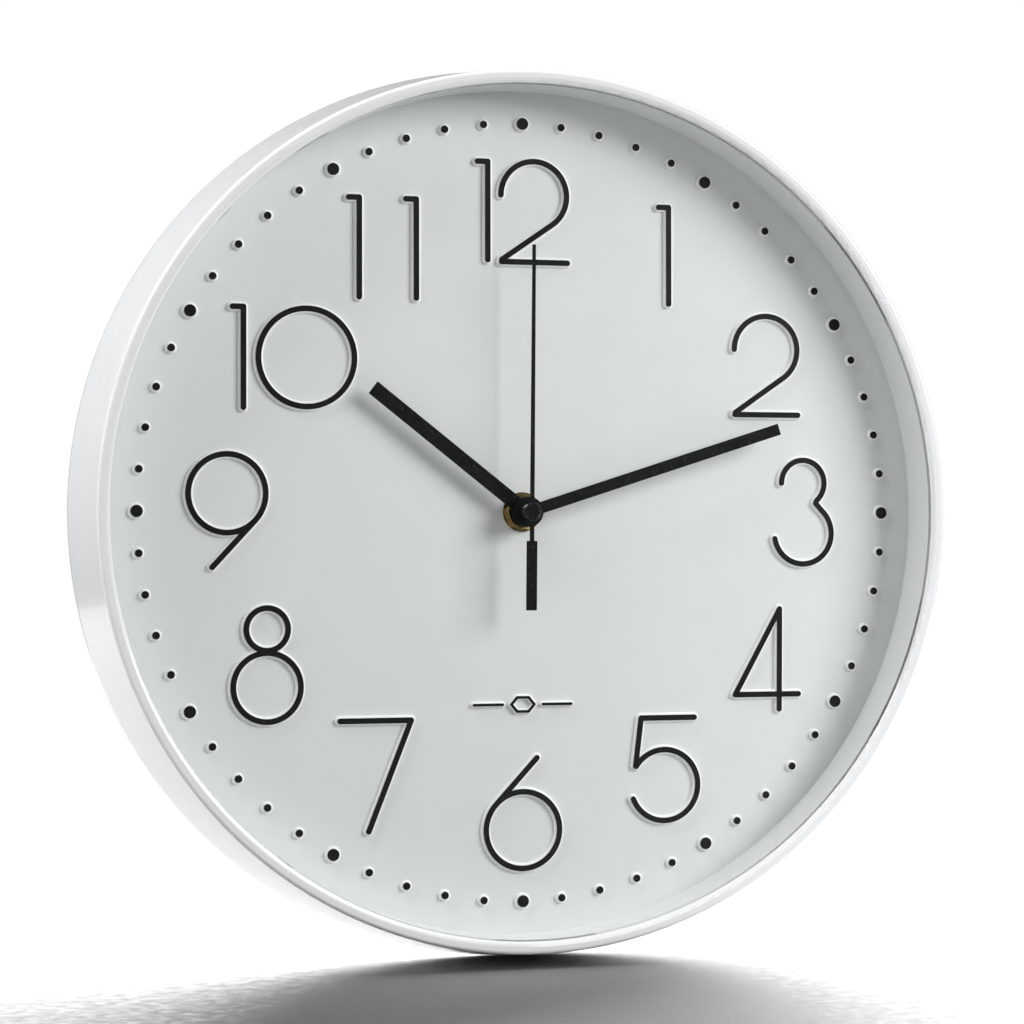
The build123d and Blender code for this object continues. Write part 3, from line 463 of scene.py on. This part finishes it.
def relief_stroke(shell, stroke, half_width, index, base=DIAL_FACE, rise=1.0):
    """One rounded ridge under one stroke, raised from a base by a share of the dial's relief."""
    rise *= 1 - STAGGER * index
    if stroke[0] == "ring":
        centre, radius = stroke[1:]
        inner = [(radius - half_width - grow, base + z * rise) for grow, z in RELIEF_PROFILE]
        outer = [(radius + half_width + grow, base + z * rise) for grow, z in reversed(RELIEF_PROFILE)]
        shell.turned(inner + outer, centre, 96)
        return
    line = centre_line(stroke)
    outlines = [stroke_ring(line, half_width + grow, base + z * rise) for grow, z in RELIEF_PROFILE]
    rings = [shell.loop(outline) for outline in outlines]
    shell.loft(rings)
    shell.folded_cap(rings[-1])
    shell.folded_cap(rings[0], flip=True)


def shifted(stroke, x, y):
    if stroke[0] == "line":
        return ("line", *[(px + x, py + y) for px, py in stroke[1:]])
    return (stroke[0], (stroke[1][0] + x, stroke[1][1] + y), *stroke[2:])


def dial():
    """The dial plate, and on it the white bodies that lift every mark, made brighter than the dial partly as
    a painted highlight round each mark.
    """
    plate = Shell()
    plate.turned(
        [
            (DIAL_HOLE_R, DIAL_BACK),
            (DIAL_R, DIAL_BACK),
            (DIAL_R, DIAL_FACE),
            *[(radius, DIAL_FACE) for radius in FACE_RINGS],
            (DIAL_HOLE_R + HOLE_CHAMFER, DIAL_FACE),
            (DIAL_HOLE_R, DIAL_FACE - HOLE_CHAMFER),
        ],
        steps=180,
    )
    plate.finish("dial", "dial_white", "case", ["dial_plate"])
    shell = Shell()
    digits = digit_strokes()
    for digit, x, y in DIGIT_PLACES:
        for index, stroke in enumerate(digits[digit]):
            relief_stroke(shell, shifted(stroke, x, y), STROKE_HALF, index)
    for index, stroke in enumerate(motif_strokes()):
        relief_stroke(shell, stroke, MOTIF_HALF, index)
    for minute in range(60):
        radius = (HOUR_DOT_R if minute % 5 == 0 else MINUTE_DOT_R) + DOT_MARGIN
        turn = 2 * pi * minute / 60
        profile = [(radius + grow, DIAL_FACE + z) for grow, z in RELIEF_PROFILE]
        foot, top = profile[0][1], profile[-1][1]
        profile = [(DOT_PIN_R, foot), *profile, (DOT_PIN_R, top)]
        shell.turned(profile, (DOT_CIRCLE_R * sin(turn), DOT_CIRCLE_R * cos(turn)), 32)
    # the bodies' white, brighter than the dial, is partly a painted highlight round each mark
    shell.finish("raised_marks", "raised_white_painted_highlight", "case", ["dial_plate"])


dial()


# ---------------------------------------------------------------- battery cell
CELL_AXIS = (-19.0, 9.3)
CELL_R, CELL_LEFT, CELL_RIGHT, NUB_END = 7.15, -24.5, 25.0, 26.0
JACKET_LEFT, JACKET_RIGHT, BAND_LEFT = -24.1, 24.55, 9.5
# the radius at which the cell's ends close on its axis
CELL_PIN_R = 0.05


def battery():
    """A size AA cell: a jacket, a bright band at the plus end, a grooved base and a raised tip."""
    jacket = Shell()
    jacket.turned_across(
        [
            (6.2, JACKET_LEFT + 0.25), (6.5, JACKET_LEFT), (6.9, JACKET_LEFT + 0.1),
            (CELL_R, JACKET_LEFT + 0.5), (CELL_R, BAND_LEFT), (CELL_R - 0.3, BAND_LEFT),
            (CELL_R - 0.3, JACKET_LEFT + 1),
        ],
        CELL_AXIS,
    )
    jacket.finish("cell_jacket", "battery_jacket", "case", ["battery_cell"])
    band = Shell()
    band.turned_across(
        [
            (CELL_R, BAND_LEFT + 0.02), (CELL_R, JACKET_RIGHT - 0.55), (6.9, JACKET_RIGHT - 0.12),
            (6.45, JACKET_RIGHT), (6.1, JACKET_RIGHT - 0.25), (6.1, BAND_LEFT + 0.02),
        ],
        CELL_AXIS,
    )
    band.finish("cell_band", "brass", "case", ["battery_cell"])
    ends = Shell()
    ends.turned_across(
        [
            (CELL_PIN_R, CELL_LEFT), (4.3, CELL_LEFT), (4.6, CELL_LEFT + 0.12), (4.75, CELL_LEFT + 0.45),
            (5.5, CELL_LEFT + 0.5), (5.75, CELL_LEFT + 0.3), (6.25, CELL_LEFT + 0.35),
            (6.35, CELL_LEFT + 0.8), (CELL_PIN_R, CELL_LEFT + 0.8),
        ],
        CELL_AXIS,
    )
    ends.turned_across(
        [
            (CELL_PIN_R, CELL_RIGHT - 1.0), (6.3, CELL_RIGHT - 1.0), (6.3, CELL_RIGHT - 0.35),
            (5.9, CELL_RIGHT - 0.1), (4.0, CELL_RIGHT - 0.1), (3.1, CELL_RIGHT),
            (2.75, CELL_RIGHT + 0.15), (2.7, NUB_END - 0.3), (2.4, NUB_END), (1.1, NUB_END),
            (0.9, NUB_END - 0.06), (CELL_PIN_R, NUB_END - 0.06),
        ],
        CELL_AXIS,
    )
    ends.finish("cell_ends", "zinc_steel", "case", ["battery_cell"])


battery()


# ---------------------------------------------------------------- moulded marks on the movement's back
MOVEMENT_BACK, MARK_RISE, MARK_HALF = 1.9, -0.3, 0.85
KNOB_CENTRE, ARROW_R = (-9.93, 1.75), 8.6
# the two spans in degrees that the arrows cover, and how far back and to each side their barbs reach
ARROW_SPANS, BARB_BACK, BARB_OUT = ((35, 80), (215, 260)), 13, 1.7
PLUS_CENTRE, MINUS_CENTRE, MARK_REACH = (22.5, -7.6), (-22.5, -7.6), 1.6
# strokes that meet stand this many staggers apart
MARK_STAGGERS = 4


def arrow(centre, radius, low, high):
    """A curved arrow round a centre, its head at the high end."""
    tip = on_circle(centre, radius, high)
    barbs = [on_circle(centre, radius + out, high - BARB_BACK) for out in (-BARB_OUT, BARB_OUT)]
    return [("arc", centre, radius, low, high)] + [("line", tip, barb) for barb in barbs]


def movement_marks():
    """Which way round the cell goes, and which way the setting knob turns."""
    (px, py), (mx, my) = PLUS_CENTRE, MINUS_CENTRE
    strokes = [
        ("line", (px - MARK_REACH, py), (px + MARK_REACH, py)),
        ("line", (px, py - MARK_REACH), (px, py + MARK_REACH)),
        ("line", (mx - MARK_REACH, my), (mx + MARK_REACH, my)),
    ]
    for low, high in ARROW_SPANS:
        strokes += arrow(KNOB_CENTRE, ARROW_R, low, high)
    shell = Shell()
    for index, stroke in enumerate(strokes):
        relief_stroke(shell, stroke, MARK_HALF, index % 3 * MARK_STAGGERS, MOVEMENT_BACK, MARK_RISE)
    shell.finish("movement_marks", "movement_black", "case")


movement_marks()


# ---------------------------------------------------------------- coil
COIL_AXIS = (22.3, 10.8)
COIL_R, COIL_TUBE_R, COIL_HALF, WIRE_PITCH = 3.2, 1.9, 10.7, 0.28
# one turn of wire seen from the side: how far along the pitch, and how far under the top
TURN_PROFILE = ((0.0, -0.10), (0.25, -0.03), (0.5, 0.0), (0.75, -0.03))
# where along X each tail leaves the winding and where it meets the board
TAILS, TAIL_R = ((9.5, 11.5), (7.5, 9.6)), 0.09


def coil():
    """The winding as its top layer of turns, not quite even, with two tails to the board."""
    turns = int(2 * COIL_HALF / WIRE_PITCH)
    outline = [(COIL_TUBE_R, COIL_HALF), (COIL_TUBE_R, -COIL_HALF)]
    for i in range(turns):
        start = -COIL_HALF + 2 * COIL_HALF * i / turns
        sag = 0.05 * sin(i * 0.37) + 0.03 * sin(i * 1.9)
        for step, rise in TURN_PROFILE:
            outline.append((COIL_R - 0.08 + sag + rise, start + step * WIRE_PITCH))
    outline.append((COIL_R - 0.18, COIL_HALF))
    shell = Shell()
    shell.turned_across(outline, COIL_AXIS, 40)
    for x, end in TAILS:
        path = [(x, 19.6, 9.6), (x + 0.3, 19.1, 8.0), (x + 0.9, 18.6, 6.2), (end, 18.2, 5.5)]
        shell.wire(path, TAIL_R, 8)
    shell.finish("coil_turns", "copper_wire", "case", ["coil_winding"])


coil()


# ---------------------------------------------------------------- floor, light and camera
# in metres and watts; the clock's own centre is taken at the tops of the dial's dots
FLOOR_Z, FLOOR_RADIUS, FLOOR_SIDES = -0.1500, 0.95, 96
CLOCK_CENTRE = Vector((0, -22.2 * MM, 0))
KEY_DIRECTION = Vector((1.14, -1.0, 0.62)).normalized()
KEY_DISTANCE = 1.6
WORLD_LIGHT = 0.13
# where each of the clock's own lamps stands, its width and height, and its power
CLOCK_LAMPS = {
    "key": (CLOCK_CENTRE + KEY_DIRECTION * KEY_DISTANCE, 0.75, 0.75, 21.5),
    "fill": ((-0.9, -1.7, 0.9), 1.4, 1.4, 2.5),
    "low_fill": ((-1.6, -0.40, 0.1), 0.9, 0.9, 4.2),
    "side": ((-0.9, -0.08, 1.2), 1.0, 1.0, 27.0),
}
FLOOR_LAMP = ((0.66, 1.1, 0.62), 1.85, 0.9, 82.0)


def floor():
    """A plain pale disc that the clock stands on."""
    turns = [2 * pi * i / FLOOR_SIDES for i in range(FLOOR_SIDES)]
    rim = [(FLOOR_RADIUS * cos(t), FLOOR_RADIUS * sin(t), FLOOR_Z) for t in turns]
    plane = mesh_object("floor", rim, [tuple(range(FLOOR_SIDES))])
    plane.data.materials.append(moulded("floor_paper", (0.62, 0.62, 0.62), 0.7, 1.5, 0.02, mottle=0.004))
    plane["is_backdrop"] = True
    return plane


def soft_box(name, location, width, height, power, aim=CLOCK_CENTRE):
    """A rectangular lamp that faces a point and that the camera doesn't see."""
    lamp = bpy.data.lights.new(name, "AREA")
    lamp.shape = "RECTANGLE"
    lamp.size, lamp.size_y = width, height
    lamp.energy = power
    holder = bpy.data.objects.new(name, lamp)
    holder.location = location
    holder.visible_camera = False
    holder.rotation_mode = "QUATERNION"
    holder.rotation_quaternion = (Vector(aim) - Vector(location)).to_track_quat("-Z", "Y")
    bpy.context.scene.collection.objects.link(holder)
    return holder


def light_only(lamp, objects):
    """Keeps a lamp off everything else, so that the clock and the floor can be lit apart."""
    lit = bpy.data.collections.new("lit_by_" + lamp.name)
    for thing in objects:
        lit.objects.link(thing)
    lamp.light_linking.receiver_collection = lit


def studio_world():
    """White behind the clock, and a dimmer even light on it."""
    world = bpy.data.worlds.new("studio")
    world.use_nodes = True
    tree = world.node_tree
    tree.nodes.clear()
    output = tree.nodes.new("ShaderNodeOutputWorld")
    seen = add(tree, "ShaderNodeBackground", {"Color": (1, 1, 1, 1), "Strength": 1.0})
    light = add(tree, "ShaderNodeBackground", {"Color": (0.96, 0.985, 1, 1), "Strength": WORLD_LIGHT})
    path = add(tree, "ShaderNodeLightPath")
    seen_directly = path.outputs["Is Camera Ray"]
    both = add(tree, "ShaderNodeMixShader", {0: seen_directly, 1: light.outputs[0], 2: seen.outputs[0]})
    tree.links.new(both.outputs[0], output.inputs[0])
    bpy.context.scene.world = world


stage = floor()
studio_world()
for name, (location, width, height, power) in CLOCK_LAMPS.items():
    light_only(soft_box(name, location, width, height, power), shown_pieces())
light_only(soft_box("back", *FLOOR_LAMP, aim=(0, 0, FLOOR_Z)), [stage])

CAMERA_AZIMUTH = radians(-16.95)
CAMERA_ELEVATION = radians(-0.68)
CAMERA_DISTANCE = 0.998
CAMERA_LENS, SENSOR_WIDTH = 104.91, 36.0
CAMERA_ROLL = radians(0.05)
AIM_LEFT = 3.65 * MM


def camera():
    """The camera, a little below the clock's centre and to its left."""
    towards = Vector(
        (
            sin(CAMERA_AZIMUTH) * cos(CAMERA_ELEVATION),
            -cos(CAMERA_AZIMUTH) * cos(CAMERA_ELEVATION),
            sin(CAMERA_ELEVATION),
        )
    )
    right = Vector((cos(CAMERA_AZIMUTH), sin(CAMERA_AZIMUTH), 0))
    data = bpy.data.cameras.new("camera")
    data.sensor_width = SENSOR_WIDTH
    data.lens = CAMERA_LENS
    holder = bpy.data.objects.new("camera", data)
    holder.location = CLOCK_CENTRE + towards * CAMERA_DISTANCE
    holder.rotation_mode = "QUATERNION"
    aim = CLOCK_CENTRE - right * AIM_LEFT - holder.location
    roll = Matrix.Rotation(-CAMERA_ROLL, 4, "Z").to_quaternion()
    holder.rotation_quaternion = aim.to_track_quat("-Z", "Y") @ roll
    bpy.context.scene.collection.objects.link(holder)
    bpy.context.scene.camera = holder


camera()
bpy.context.scene.view_settings.view_transform = "Standard"
